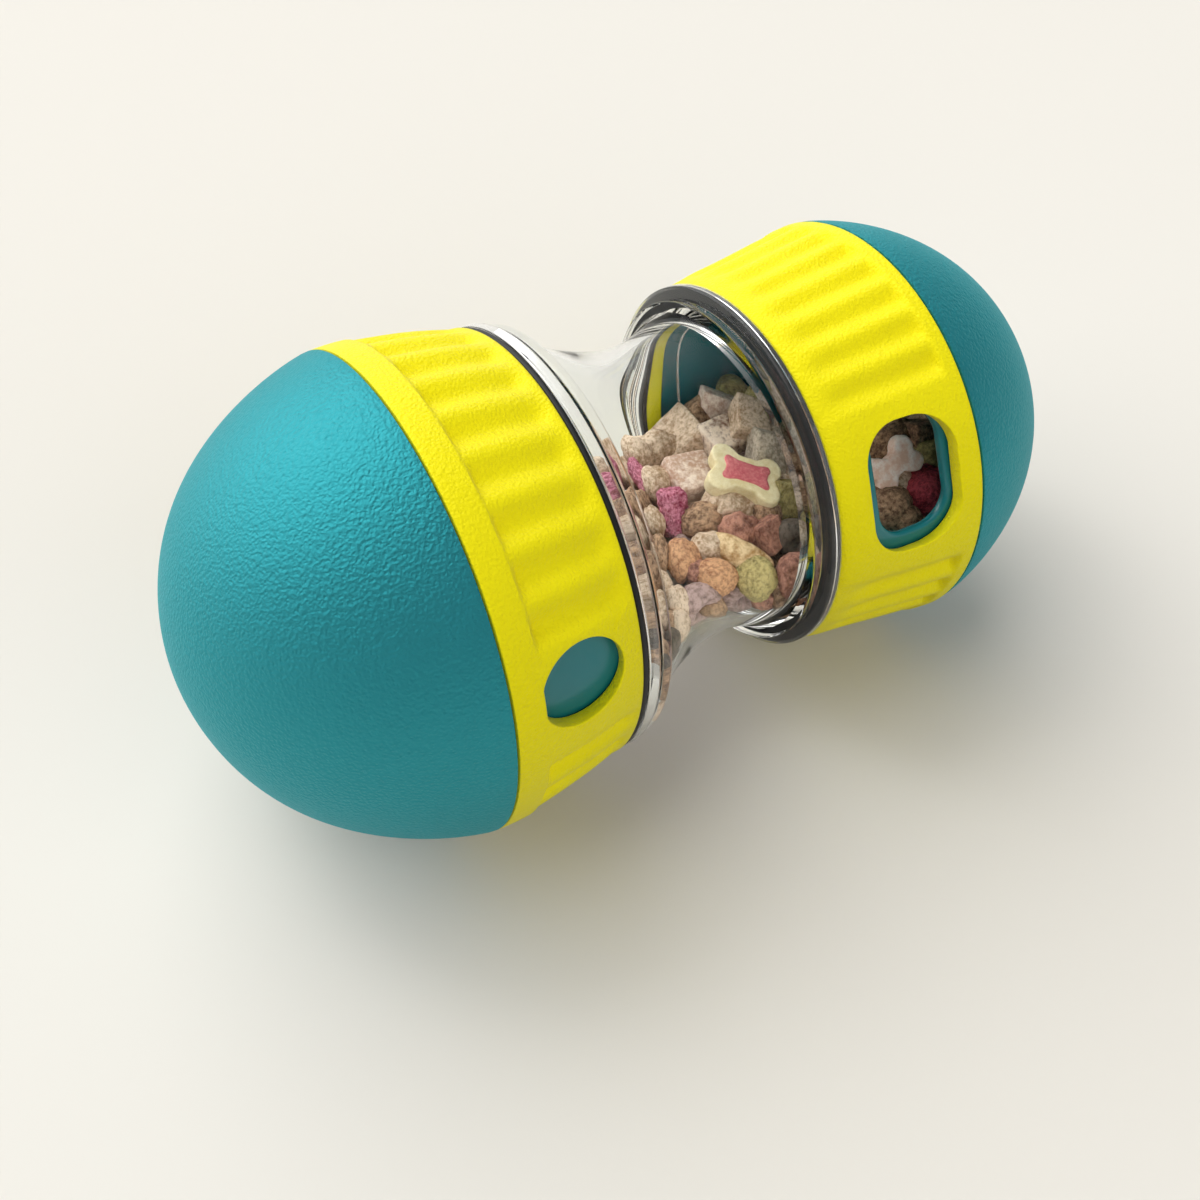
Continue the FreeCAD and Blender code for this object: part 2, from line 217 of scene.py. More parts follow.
def cutWindow(piece, window, outline, loops):
    # the skin and the bore lose their faces round the window
    pick(piece)
    editMesh("FACE", "DESELECT")
    setMode("OBJECT")
    wide = window["clear"]
    low, high = window["spanX"]
    turn = Matrix.Rotation(math.radians(window["turn"]), 3, "X")
    for face in piece.data.polygons:
        x, across, height = turn.transposed() @ face.center / mm
        near = abs(across) < window["half"] + wide and height > 0
        face.select = near and low - wide < x < high + wide
    setMode("EDIT")
    bpy.ops.mesh.delete(type="FACE")
    setMode("OBJECT")
    # the rim is a short tube of loops, from the skin down to the bore
    rim, spots = grid("rim", len(outline), len(loops) - 1)
    for v in rim.data.vertices:
        i, j = spots[v.index]
        x, t, nx, nt = outline[i % len(outline)]
        offset, radius = loops[j]
        x += nx * offset
        t += nt * offset
        r = radius(x)
        v.co = turn @ Vector((x, -t, math.sqrt(r * r - t * t))) * mm
    outside(rim)
    joined(piece, rim)
    for skin in (True, False):
        editMesh("EDGE", "DESELECT")
        bpy.ops.mesh.select_non_manifold(
            extend=False, use_wire=False, use_boundary=True, use_multi_face=False,
            use_non_contiguous=False, use_verts=False)
        setMode("OBJECT")
        mesh = piece.data
        for edge in mesh.edges:
            if edge.select:
                spot = (mesh.vertices[edge.vertices[0]].co + mesh.vertices[edge.vertices[1]].co) / 2
                radius = math.hypot(spot.y, spot.z) / mm
                edge.select = (radius > window["between"](spot.x / mm)) == skin
        for v in mesh.vertices:
            v.select = False
        for edge in mesh.edges:
            if edge.select:
                for end in edge.vertices:
                    mesh.vertices[end].select = True
        setMode("EDIT")
        bpy.ops.mesh.select_mode(type="EDGE")
        bpy.ops.mesh.bridge_edge_loops()
        setMode("OBJECT")
    outside(piece)


def ellipseOutline(window):
    # an ellipse with one side cut flat, with its outward direction at each point
    points, count = [], 72
    for step in range(count):
        a = math.tau * step / count
        x = window["x"] + window["semiX"] * math.cos(a)
        points.append((max(x, window["flatX"]), window["semiT"] * math.sin(a)))
    return withDirections(points)


def roundedOutline(window, margin):
    halfX = window["width"] / 2 - margin
    halfT = window["height"] / 2 - margin
    corner = window["corner"] - margin
    points, count = [], 20
    for sx, st, start in ((1, 1, 0), (-1, 1, 90), (-1, -1, 180), (1, -1, 270)):
        for step in range(count):
            a = math.radians(start + 90 * step / (count - 1))
            points.append((
                window["x"] + sx * (halfX - corner) + corner * math.cos(a),
                st * (halfT - corner) + corner * math.sin(a)))
    return withDirections(points)


def withDirections(points):
    out = []
    for i, (x, t) in enumerate(points):
        ax, at = points[i - 1]
        bx, bt = points[(i + 1) % len(points)]
        way = Vector((bx - ax, bt - at)).normalized()
        out.append((x, t, way.y, -way.x))
    return out


fluteForm = {
    "columns": 12, "padEdge": 1.2,      # columns to a flute, and degrees over which the pad begins
    "padRise": 0.55, "rise": 1.3,       # mm past the step to the full pad and to the full flutes
    "farDepth": 0.72, "fall": 12,       # depth of the flutes by the waist, and mm over which it is reached
    "padOut": 2,                        # mm over which the pad ends by the waist
}


def flutePitch(ring):
    return (360 - 2 * ring["padHalf"]) / (ring["flutes"] - 1)


def flutedColumns(ring):
    # even columns across the smooth pad and a fixed number to each flute
    start, end = ring["pad"] - ring["padHalf"], ring["pad"] + ring["padHalf"]
    columns = [start + 2 * ring["padHalf"] * i / ring["padColumns"] for i in range(ring["padColumns"])]
    each = fluteForm["columns"]
    return columns + [end + flutePitch(ring) * i / each for i in range((ring["flutes"] - 1) * each)]


def fromPad(ring, turn):
    return abs((turn - ring["pad"] + 180) % 360 - 180)


def fluteDepth(ring, turn):
    # 0 on a ridge, 1 in a valley, with valleys narrower than ridges
    inside = ring["padHalf"] - fromPad(ring, turn)
    if inside > 0:
        share = min(inside / ring["padFade"], 1)
    else:
        share = (-inside / flutePitch(ring)) % 1
        share = min(share, 1 - share) * 2
    return (0.5 + 0.5 * math.cos(math.pi * share)) ** ring["sharpness"]


def padShare(ring, turn):
    return ease((fromPad(ring, turn) - ring["padHalf"] + ring["padFade"]) / fluteForm["padEdge"])


print("scene: helpers ready")

# Colours and nodes. A node that is given as an input stands for its first output.

def linear(code):
    values = [int(code[i:i + 2], 16) / 255 for i in (1, 3, 5)]
    return tuple(v / 12.92 if v <= 0.04045 else ((v + 0.055) / 1.055) ** 2.4 for v in values) + (1,)


def addNode(owner, kind, inputs=None, **settings):
    node = owner.node_tree.nodes.new("ShaderNode" + kind)
    for key, value in settings.items():
        setattr(node, key, value)
    for key, value in (inputs or {}).items():
        if isinstance(value, bpy.types.Node):
            value = value.outputs[0]
        if isinstance(value, bpy.types.NodeSocket):
            owner.node_tree.links.new(value, node.inputs[key])
        else:
            node.inputs[key].default_value = value
    return node


def newMaterial(name):
    look = bpy.data.materials.new(name)
    look.use_nodes = True
    look.node_tree.nodes.clear()
    return look


def finishMaterial(look, kind, inputs):      # the last shader goes to the output
    addNode(look, "OutputMaterial", {"Surface": addNode(look, kind, inputs)})
    return look

# Spark-eroded moulds leave a leathery grain on ABS, drawn here about half a millimetre across.
# The eye sees short crooked ridges that catch the light, and a broad soft sheen.
def grainedPlastic(name, colour, dark, grainMm, depth, roughness, index, gleam):
    look = newMaterial(name)
    place = addNode(look, "TexCoord").outputs["Object"]
    warp = addNode(look, "TexNoise", {
        "Vector": place, "Scale": 0.5 / (grainMm * mm), "Detail": 2.0, "Roughness": 0.5})
    bend = addNode(look, "VectorMath", {
        0: warp.outputs["Color"], 1: (grainMm * mm * 1.1,) * 3, 2: place}, operation="MULTIPLY_ADD")
    cells = addNode(look, "TexVoronoi", {
        "Vector": bend, "Scale": 1 / (grainMm * mm), "Smoothness": 0.6}, feature="SMOOTH_F1")
    fine = addNode(look, "TexNoise", {
        "Vector": place, "Scale": 1.6 / (grainMm * mm), "Detail": 3.0, "Roughness": 0.6})
    height = addNode(look, "Math", {
        0: fine, 1: 0.7, 2: cells.outputs["Distance"]}, operation="MULTIPLY_ADD")
    bump = addNode(look, "Bump", {"Height": height, "Strength": 1.0, "Distance": depth * mm})
    drift = addNode(look, "TexNoise", {"Vector": place, "Scale": 45.0, "Detail": 2.0})
    tone = addNode(look, "Mix", {0: drift, 6: linear(dark), 7: linear(colour)}, data_type="RGBA")
    gloss = addNode(look, "MapRange", {
        0: cells.outputs["Distance"], 1: 0.0, 2: 1.0, 3: roughness - 0.06, 4: roughness + 0.1})
    return finishMaterial(look, "BsdfPrincipled", {
        "Base Color": tone.outputs[2], "Roughness": gloss, "IOR": index, "Specular Tint": linear(gleam),
        "Sheen Weight": 0.25, "Sheen Roughness": 0.6, "Sheen Tint": linear(gleam), "Normal": bump})


# Polished ABS of the inner sleeves: even colour, soft clear highlights, faint flow marks.
def smoothPlastic(name, colour, dark, roughness):
    look = newMaterial(name)
    place = addNode(look, "TexCoord").outputs["Object"]
    flow = addNode(look, "TexNoise", {"Vector": place, "Scale": 90.0, "Detail": 3.0})
    tone = addNode(look, "Mix", {0: flow, 6: linear(dark), 7: linear(colour)}, data_type="RGBA")
    gloss = addNode(look, "MapRange", {
        0: flow, 1: 0.3, 2: 0.7, 3: roughness - 0.04, 4: roughness + 0.05})
    bump = addNode(look, "Bump", {"Height": flow, "Strength": 0.2, "Distance": 0.05 * mm})
    return finishMaterial(look, "BsdfPrincipled", {
        "Base Color": tone.outputs[2], "Roughness": gloss, "IOR": 1.5, "Normal": bump})


# Clear polycarbonate, polished mould: sharp reflections and bent lines at every step of the wall.
def clearPlastic(name, index):
    look = newMaterial(name)
    place = addNode(look, "TexCoord").outputs["Object"]
    ripple = addNode(look, "TexNoise", {"Vector": place, "Scale": 60.0, "Detail": 1.0})
    bump = addNode(look, "Bump", {"Height": ripple, "Strength": 0.1, "Distance": 0.03 * mm})
    solid = addNode(look, "BsdfPrincipled", {
        "Base Color": linear("#fafcfd"), "Roughness": 0.0, "IOR": index,
        "Transmission Weight": 1.0, "Normal": bump})
    through = addNode(look, "BsdfTransparent", {"Color": linear("#f2f5f6")})
    path = addNode(look, "LightPath")
    return finishMaterial(look, "MixShader", {
        0: path.outputs["Is Shadow Ray"], 1: solid, 2: through})


# Moulded nitrile rubber seal: black, dull, a little dusty.
def sealRubber(name):
    look = newMaterial(name)
    place = addNode(look, "TexCoord").outputs["Object"]
    dust = addNode(look, "TexNoise", {"Vector": place, "Scale": 400.0, "Detail": 4.0})
    tone = addNode(look, "Mix", {
        0: dust, 6: linear("#0c0d0e"), 7: linear("#1c1e20")}, data_type="RGBA")
    bump = addNode(look, "Bump", {"Height": dust, "Strength": 0.4, "Distance": 0.05 * mm})
    return finishMaterial(look, "BsdfPrincipled", {
        "Base Color": tone.outputs[2], "Roughness": 0.55, "IOR": 1.5, "Normal": bump})


tealGrained = grainedPlastic("grainedTealAbs", "#26676f", "#236068", 0.6, 0.16, 0.46, 2.8, "#4cf3ff")
yellowGrained = grainedPlastic("grainedYellowAbs", "#fff208", "#fbec06", 0.5, 0.13, 0.42, 1.5, "#fff27a")
tealSmooth = smoothPlastic("polishedTealAbs", "#147a80", "#126f76", 0.22)
clearTube = clearPlastic("clearPolycarbonate", 1.45)
clearWall = clearPlastic("clearThinWall", 1.12)
rubber = sealRubber("nitrileSeal")
print("scene: plastics mixed")

# Clear waist tube. The ribs are (way from the flange, radius, fillet).
waist = {
    "leftFlange": -18.2, "leftEdge": 37.9, "leftSpigot": 33.9, "leftReach": 5.0,
    "rightFlange": 21.4, "rightEdge": 33.5, "rightSpigot": 29.6, "rightReach": 7.2, "lip": (22.3, 33.33),
    "leftRibs": [(2.3, 36.2, 0.2), (2.9, 36.2, 0.2), (2.9, 37.0, 0.35), (5.0, 37.0, 0.6)],
    "rightRibs": [(-3.3, 31.5, 0.4), (-1.8, 31.5, 0.25), (-1.6, 30.9, 0.15), (-1.2, 30.9, 0.15)],
    "wall": 2.3, "thinX": (-13.4, 18.2), "thinR": 36,
    "flare": [(-13.2, 35.2), (-8.1, 31.65), (-2.3, 28.9), (2.6, 27.3), (7.5, 26.75), (13.2, 27.3),
              (18.1, 29.6)],
    "inner": [(-17.2, 31.6), (-8.2, 29.2), (-2.3, 26.6), (2.6, 24.95), (7.0, 24.45), (11.5, 24.65),
              (16.2, 26.5), (20.4, 27.3)],
}


def evenCurve(points):      # one even sweep, so that the wall bends no line seen through it
    curve = np.polynomial.Polynomial.fit(*zip(*points), deg=4)
    return lambda x: float(curve(x))


def makeWaist(w):
    lf, rf = w["leftFlange"], w["rightFlange"]
    leftEnd, rightEnd = lf - w["leftReach"], rf + w["rightReach"]
    left = [
        (leftEnd, w["leftSpigot"] - w["wall"], 0.3),
        (leftEnd, w["leftSpigot"], 0.5),
        (lf, w["leftSpigot"], 0.2),
        (lf, w["leftEdge"], 0.35),
        (lf + w["leftRibs"][0][0], w["leftEdge"], 0.5),
        *[(lf + x, r, fillet) for x, r, fillet in w["leftRibs"]],
    ]
    right = [
        *[(rf + x, r, fillet) for x, r, fillet in w["rightRibs"]],
        (rf - 1.0, w["rightEdge"], 0.4),
        (w["lip"][0], w["rightEdge"], 0.1),      # a thin lip hides the gasket
        (*w["lip"], 0),
        (rf, w["lip"][1], 0),
        (rf, w["rightSpigot"], 0.2),
        (rightEnd, w["rightSpigot"], 0.5),
        (rightEnd, w["rightSpigot"] - w["wall"], 0.3),
    ]
    outerAt, innerAt = evenCurve(w["flare"]), evenCurve(w["inner"])
    flare = [(x, outerAt(x), 0) for x in np.linspace(left[-1][0], right[0][0], 60)]
    inner = [(x, innerAt(x), 0) for x in np.linspace(rf - 1.0, lf + 1.0, 60)]
    return lathe("waistTube", rounded(left + flare + right + inner), 256)


waistTube = makeWaist(waist)
smooth(waistTube, 35)
dress(waistTube, clearTube)
waistTube.data.materials.append(clearWall)
thinFrom, thinTo = waist["thinX"]
for face in waistTube.data.polygons:      # the even wall between the ribs bends light far less
    x, y, z = face.center / mm
    if thinFrom < x < thinTo and math.hypot(y, z) < waist["thinR"]:
        face.material_index = 1
seat(waistTube, "clear_waist_tube", "waist")
print("scene: waist tube spun")

seals = {
    "leftSeal": {"x": -19.25, "thickness": 1.05, "inner": 33.9, "outer": 37.9, "stands": "left_gasket"},
    "rightSeal": {"x": 21.4, "thickness": 0.95, "inner": 29.6, "outer": 33.2, "stands": "right_gasket"},
}


def makeSeal(name, s):
    x0, x1, inner, outer = s["x"], s["x"] + s["thickness"], s["inner"], s["outer"]
    corners = [(x0, inner, 0.1), (x0, outer, 0.4), (x1, outer, 0.4), (x1, inner, 0.1)]
    return lathe(name, rounded(corners), 192)


for name, s in seals.items():
    seal = makeSeal(name, s)
    smooth(seal, 40)
    dress(seal, rubber)
    seat(seal, s["stands"], "waist")
print("scene: seals spun")

# Grip rings. The skin is (x, radius) and the groove is where the sleeve's bead snaps in.
leftRing = {
    "start": -43.6, "end": -19.3, "step": -38.5,
    "skin": [(-43.6, 41.95), (-39.5, 41.95), (-35.7, 41.55), (-27.5, 40.2), (-19.3, 38.1)],
    "flutes": 30, "pad": 76.9, "padHalf": 19.1, "padFade": 4.3, "padColumns": 44,
    "sharpness": 1.25, "valley": 1.75, "lower": 0.3, "runOut": 3.2, "edgeMargin": 0.7,
    "bore": [(-21.9, 37.2), (-43.6, 39.2)], "web": -21.9, "hole": 33.95,
    "groove": (-41.9, 40.1),
}
rightRing = {
    "start": 49.2, "end": 22.4, "step": 47.0,
    "skin": [(22.4, 32.9), (24.2, 33.75), (27.0, 34.45), (31.2, 34.95), (40.2, 36.15), (47.0, 36.95),
             (49.2, 37.15)],
    "flutes": 30, "pad": 65.0, "padHalf": 30.5, "padFade": 4.6, "padColumns": 64,
    "sharpness": 1.15, "valley": 1.35, "lower": 0.22, "runOut": 7.0, "edgeMargin": 0.9,
    "bore": [(25.2, 32.8), (49.2, 34.3)], "web": 25.2, "hole": 29.65,
    "groove": (47.5, 35.4),
}


def boreAt(ring, x):
    (x0, r0), (x1, r1) = ring["bore"]
    return r0 + (r1 - r0) * (x - x0) / (x1 - x0)


def skinAt(ring, x):
    return along(ring["skin"], x)


def ringRadius(ring):
    toWaist = 1 if ring["end"] > ring["start"] else -1
    form = fluteForm

    def radiusAt(x, r, turn):
        past = (x - ring["step"]) * toWaist      # distance from the step towards the waist
        left = (ring["end"] - x) * toWaist
        pad = ease(past / form["padRise"]) * padShare(ring, turn) * ease(left / form["padOut"])
        fade = ease((left - ring["edgeMargin"]) / ring["runOut"]) * ease(past / form["rise"])
        slope = form["farDepth"] + (1 - form["farDepth"]) * ease(1 - past / form["fall"])
        return r - ring["lower"] * pad - ring["valley"] * slope * fade * fluteDepth(ring, turn)

    return radiusAt


def ringSection(ring):      # from the dome side over the skin to the web, and back along the bore
    start, step, end, web, hole = (ring[key] for key in ("start", "step", "end", "web", "hole"))
    way = 1 if end > start else -1
    xs = [
        *np.linspace(start + way * 0.3, step - way * 0.25, 6),
        *np.linspace(step, step + way * 1.4, 7),
        *np.linspace(step + way * 2.0, end - way * 0.35, 30)]
    grooveX, grooveR = ring["groove"]
    return [
        (start, skinAt(ring, start) - 0.3),
        (start + way * 0.08, skinAt(ring, start + way * 0.3) - 0.09),
        *[(x, skinAt(ring, x), "fluted") for x in xs],
        (end - way * 0.1, skinAt(ring, end) - 0.1),
        (end, skinAt(ring, end) - 0.4),
        (end, hole + 0.2),
        (end - way * 0.2, hole),
        (web + way * 0.2, hole),
        (web, hole + 0.2),
        (web, boreAt(ring, web) - 0.3),
        (web - way * 0.3, boreAt(ring, web)),
        *[(x, boreAt(ring, x)) for x in np.linspace(web - way * 0.9, grooveX + way * 0.75, 24)],
        (grooveX + way * 0.7, grooveR),
        (grooveX - way * 0.7, grooveR),
        (grooveX - way * 0.75, boreAt(ring, grooveX)),
        (start + way * 0.2, boreAt(ring, start)),
        (start, boreAt(ring, start) + 0.2),
    ]


leftWindow = {
    "turn": 74.0, "x": -31.1, "semiX": 7.8, "semiT": 7.2, "flatX": -38.35,
    "spanX": (-38.4, -23.3), "half": 7.2, "clear": 1.15,
}
rightWindow = {
    "turn": 64.2, "x": 36.75, "width": 16.7, "height": 23.4, "corner": 7.2,
    "spanX": (28.4, 45.1), "half": 11.7, "clear": 1.2,
}


def rimLoops(outer, inner, fillet, innerFillet):
    # offsets from the window's line and the surface each loop lies on, from the skin to the bore
    loops = [(fillet + 0.25, outer)]
    for step in range(6):
        a = math.radians(90 * step / 5)
        drop = fillet * (1 - math.cos(a))
        loops.append((fillet * (1 - math.sin(a)), lambda x, d=drop: outer(x) - d))
    for step in range(3):
        a = math.radians(45 * step)
        rise = innerFillet * (1 - math.sin(a))
        loops.append((innerFillet * (1 - math.cos(a)), lambda x, d=rise: inner(x) + d))
    loops.append((innerFillet + 0.2, inner))
    return loops


def makeRing(name, ring, window, outline, fillet, stands, body):
    piece = wrapSection(name, ringSection(ring), flutedColumns(ring), ringRadius(ring))
    window["between"] = lambda x: (skinAt(ring, x) + boreAt(ring, x)) / 2
    cutWindow(piece, window, outline, rimLoops(
        lambda x: skinAt(ring, x), lambda x: boreAt(ring, x), fillet, 0.25))
    smooth(piece, 38)
    dress(piece, yellowGrained)
    seat(piece, stands, body)


makeRing("leftGrip", leftRing, leftWindow, ellipseOutline(leftWindow), 0.3, "left_grip_ring", "left_ring")
makeRing(
    "rightGrip", rightRing, rightWindow, roundedOutline(rightWindow, 0), 0.22,
    "right_grip_ring", "right_ring")
print("scene: grip rings wrapped and cut")

# Metering sleeves, which slide in the rings' bores
sleeves = {
    "leftSleeve": {
        "ring": leftRing, "first": -22.2, "last": -48.3, "wall": 2.2, "gap": 0.3, "land": 0.05,
        "collar": 39.95, "collarX": -43.8, "bead": 39.85, "beadX": -41.9,
        "body": "left_adjuster", "stands": "left_metering_sleeve",
    },
    "rightSleeve": {
        "ring": rightRing, "first": 25.5, "last": 53.5, "wall": 2.2, "gap": 0.3, "land": 0.05,
        "collar": 35.05, "collarX": 49.4, "bead": 35.15, "beadX": 47.5,
        "body": "right_adjuster", "stands": "right_metering_sleeve",
    },
}
leftInner = dict(leftWindow, turn=14.0, spanX=(-38.4, -23.65))      # a thin lip is left at the end
rightInner = dict(
    rightWindow, turn=61.7, x=37.6, width=17.3, height=24.6, half=10.3, spanX=(30.9, 44.3))


def sleeveSection(s):      # from the waist side over bearing land, bead and collar, and back inside
    first, last, collar, collarX = s["first"], s["last"], s["collar"], s["collarX"]
    bead, beadX, gap, wall = s["bead"], s["beadX"], s["gap"], s["wall"]
    way = 1 if last > first else -1
    bore = lambda x: boreAt(s["ring"], x)
    return [
        (first, bore(first) - wall + 0.2),
        (first, bore(first) - 0.4),
        (first + way * 0.3, bore(first) - s["land"]),
        (first + way * 0.9, bore(first) - s["land"]),
        *[(x, bore(x) - gap) for x in np.linspace(first + way * 1.2, beadX - way * 0.5, 30)],
        (beadX - way * 0.45, bead - 0.1),
        (beadX - way * 0.35, bead),
        (beadX + way * 0.35, bead),
        (beadX + way * 0.45, bead - 0.1),
        (beadX + way * 0.5, bore(beadX) - gap),
        (collarX, bore(collarX) - gap),
        (collarX, collar - 0.2),
        (collarX + way * 0.2, collar),
        (last - way * 0.2, collar),
        (last, collar - 0.2),
        (last, bore(collarX) - wall),
        *[(x, bore(way * min(way * x, way * collarX)) - wall)
          for x in np.linspace(last - way * 0.6, first + way * 0.4, 34)],
    ]


def makeSleeve(name, window, outline, fillet, innerFillet):
    s = sleeves[name]
    piece = wrapSection(name, sleeveSection(s), [1.5 * i for i in range(240)])
    outer = lambda x: boreAt(s["ring"], x) - s["gap"]
    inner = lambda x: boreAt(s["ring"], x) - s["wall"]
    window["between"] = lambda x: (outer(x) + inner(x)) / 2
    cutWindow(piece, window, outline, rimLoops(outer, inner, fillet, innerFillet))
    smooth(piece, 40)
    dress(piece, tealSmooth)
    seat(piece, s["stands"], s["body"])


makeSleeve("leftSleeve", leftInner, ellipseOutline(leftInner), 0.4, 0.3)
makeSleeve("rightSleeve", rightInner, roundedOutline(rightInner, 2.0), 0.8, 0.5)
print("scene: sleeves made")

# Dome caps. A squareness of 2 and a lean of 0 would be an ellipse; these are a little slimmer.
domes = {
    "leftDome": {
        "seam": -43.9, "radius": 42.0, "height": 37.6, "way": -1, "socket": 4.6, "wall": 2.05,
        "body": "left_adjuster", "stands": "left_dome_cap",
    },
    "rightDome": {
        "seam": 49.5, "radius": 37.1, "height": 32.0, "way": 1, "socket": 4.2, "wall": 2.05,
        "body": "right_adjuster", "stands": "right_dome_cap",
    },
}
domeForm = {"squareness": 1.9, "lean": -0.16}


def domeRadius(u, radius):
    power = domeForm["squareness"]
    return radius * (1 + domeForm["lean"] * u * (1 - u)) * (1 - u ** power) ** (1 / power)


def makeDome(name, d):
    way, seam, inner = d["way"], d["seam"], d["radius"] - d["wall"]
    shares = [math.sin(math.pi / 2 * i / 56) for i in range(57)]
    outline = [(seam, d["radius"] - 0.35), (seam + way * 0.1, d["radius"] - 0.1)]
    outline += [(seam + way * max(u * d["height"], 0.3), domeRadius(u, d["radius"])) for u in shares[1:]]
    socket = seam + way * d["socket"]
    depth = d["height"] - d["socket"] - d["wall"]
    outline += [(socket + way * u * depth, domeRadius(u, inner - 0.9)) for u in reversed(shares[::2])]
    return lathe(name, outline + [(socket, inner), (seam + way * 0.3, inner), (seam, inner + 0.3)], 256)


for name, d in domes.items():
    dome = makeDome(name, d)
    smooth(dome, 40)
    dress(dome, tealGrained)
    seat(dome, d["stands"], d["body"])
print("scene: domes turned")

view = {
    "place": (-109.38, -175.25, 253.08), "elevation": 49.04, "azimuth": -30.92, "lens": 51.03,
    "sensor": 36, "pixels": 1200,
}


def addCamera(v):
    bpy.ops.object.camera_add(location=Vector(v["place"]) * mm)
    camera = bpy.context.object
    a, e = math.radians(v["azimuth"]), math.radians(v["elevation"])
    back = Vector((math.sin(a) * math.cos(e), -math.cos(a) * math.cos(e), math.sin(e)))
    camera.rotation_mode = "QUATERNION"
    camera.rotation_quaternion = (-back).to_track_quat("-Z", "Y")
    camera.data.lens = v["lens"]
    camera.data.sensor_width = v["sensor"]
    camera.data.clip_start, camera.data.clip_end = 0.01, 20
    bpy.context.scene.camera = camera
    return camera


camera = addCamera(view)

# Treats: loose kibble, cubes and biscuits lying in the hollow
heap = {
    "level": -7.0, "crown": 0.006,      # height of the heap off the axis, a little lower at the walls
    "rise": (33.0, 40.0, 12.0),      # the smaller end is fuller: from x, to x, how much higher
    "xRange": (-46, 70), "yRange": (-36, 36), "zRange": (-36, 20), "probes": 60000,
    "sizes": (3.3, 4.7), "formSize": 4.15,      # half the size of a loose treat, and of a form as made
    "filled": 0.6, "ball": 4.19,      # share of the space that treats take, volume of a ball of 1
    "seed": 11, "rounds": 420, "calm": 60,      # rounds of settling, the last of them calm
    "sink": 0.12, "calmSink": 0.02, "push": 0.35, "most": 1.2, "under": 0.9, "spare": 0.35,
    "sight": (200, 0.22, 1000),      # start, step and count of steps down a sight line
    "sunk": 0.35, "boneLift": 4.0, "boneSize": 1.35,
    "hollow": [(-48, 36.8), (-23.4, 34.8), (-23.2, 31.5), (-17.2, 31.5), (-8.2, 29.1), (-2.3, 26.5),
               (2.6, 24.8), (7, 24.3), (11.5, 24.5), (16.2, 26.4), (20.4, 27.2), (28.6, 27.2), (28.8, 30.5),
               (53, 31.8), (60, 29.5), (68, 23.5), (74, 15)],
    "waistSpan": (-23.2, 28.6),
}


def hollowAt(x, size):      # least radius of the hollow over the length of a treat
    places, radii = zip(*heap["hollow"])
    spots = [np.interp(x + share * size, places, radii) for share in (-0.8, -0.4, 0, 0.4, 0.8)]
    return np.min(spots, axis=0)


def heapTop(x, y):
    low, high, rise = heap["rise"]
    return heap["level"] - heap["crown"] * y * y + rise * np.clip((x - low) / (high - low), 0, 1)


untilt = Matrix.Rotation(-toy["tilt"], 3, "Y")
facing = untilt @ camera.rotation_quaternion.to_matrix()      # the viewer's axes in the toy's own frame


def sightLine(px, py):
    focal, half = view["lens"] / view["sensor"] * view["pixels"], view["pixels"] / 2
    way = facing @ Vector(((px - half) / focal, (half - py) / focal, -1)).normalized()
    return untilt @ (Vector(view["place"]) - Vector((toy["shiftX"], 0, toy["axisHeight"]))), way


def restingPlace(px, py, size, lift):
    # first spot down the sight line that is in the heap and clear of the wall
    start, way = sightLine(px, py)
    best, least = None, 1e9
    first, stride, count = heap["sight"]
    for step in range(count):
        spot = start + way * (first + step * stride)
        wall = math.hypot(spot.y, spot.z) + size - hollowAt(spot.x, size)
        over = spot.z - (heapTop(spot.x, spot.y) + lift - heap["sunk"] * size)
        miss = max(wall, over, 0)
        if miss < least - 1e-6:
            best, least = spot.copy(), miss
        if miss == 0:
            break
    room = hollowAt(best.x, size) - size
    reach = math.hypot(best.y, best.z)
    if reach > room:      # by the outline of the neck the last bit is taken off sideways
        best.y, best.z = best.y * room / reach, best.z * room / reach
    return best


def settleHeap(pinned):
    # loose treats are pushed apart, kept inside the hollow and drawn down a little at each round
    rng = np.random.default_rng(heap["seed"])
    low, high, near, away, bottom, top = *heap["xRange"], *heap["yRange"], *heap["zRange"]
    probe = rng.uniform((low, near, bottom), (high, away, top), (heap["probes"], 3))
    inside = np.hypot(probe[:, 1], probe[:, 2]) < hollowAt(probe[:, 0], 0)
    inside &= probe[:, 2] < heapTop(probe[:, 0], probe[:, 1])
    space = inside.mean() * (high - low) * (away - near) * (top - bottom)
    taken = sum(heap["ball"] * p[3] ** 3 for p in pinned)
    sizes = []
    while sum(heap["ball"] * s ** 3 for s in sizes) < heap["filled"] * space - taken:
        sizes.append(rng.uniform(*heap["sizes"]))
    fixed = np.array(pinned)
    spots = np.vstack([fixed[:, :3], probe[inside][:len(sizes)]])
    radii = np.concatenate([fixed[:, 3], np.array(sizes)])
    free = np.arange(len(radii)) >= len(pinned)
    for turn in range(heap["rounds"]):
        spots[free, 2] -= heap["sink"] if turn < heap["rounds"] - heap["calm"] else heap["calmSink"]
        gap = spots[:, None] - spots[None]
        far = np.sqrt((gap ** 2).sum(2)) + np.eye(len(spots)) * 99
        push = np.clip(radii[:, None] + radii[None] - far, 0, None) * heap["push"]
        move = (gap / far[:, :, None] * push[:, :, None]).sum(1)
        spots[free] += np.clip(move[free], -heap["most"], heap["most"])
        reach = np.hypot(spots[:, 1], spots[:, 2])
        room = hollowAt(spots[:, 0], radii) - radii - heap["spare"]
        pull = np.where((reach > room) & free, room / np.maximum(reach, 1e-6), 1)
        spots[:, 1] *= pull
        spots[:, 2] *= pull
        spots[free, 0] = np.clip(spots[free, 0], low + radii[free], high - radii[free])
        ceiling = heapTop(spots[:, 0], spots[:, 1]) - radii * heap["under"]
        spots[free, 2] = np.minimum(spots[free, 2], ceiling[free])
    return spots[free], radii[free]


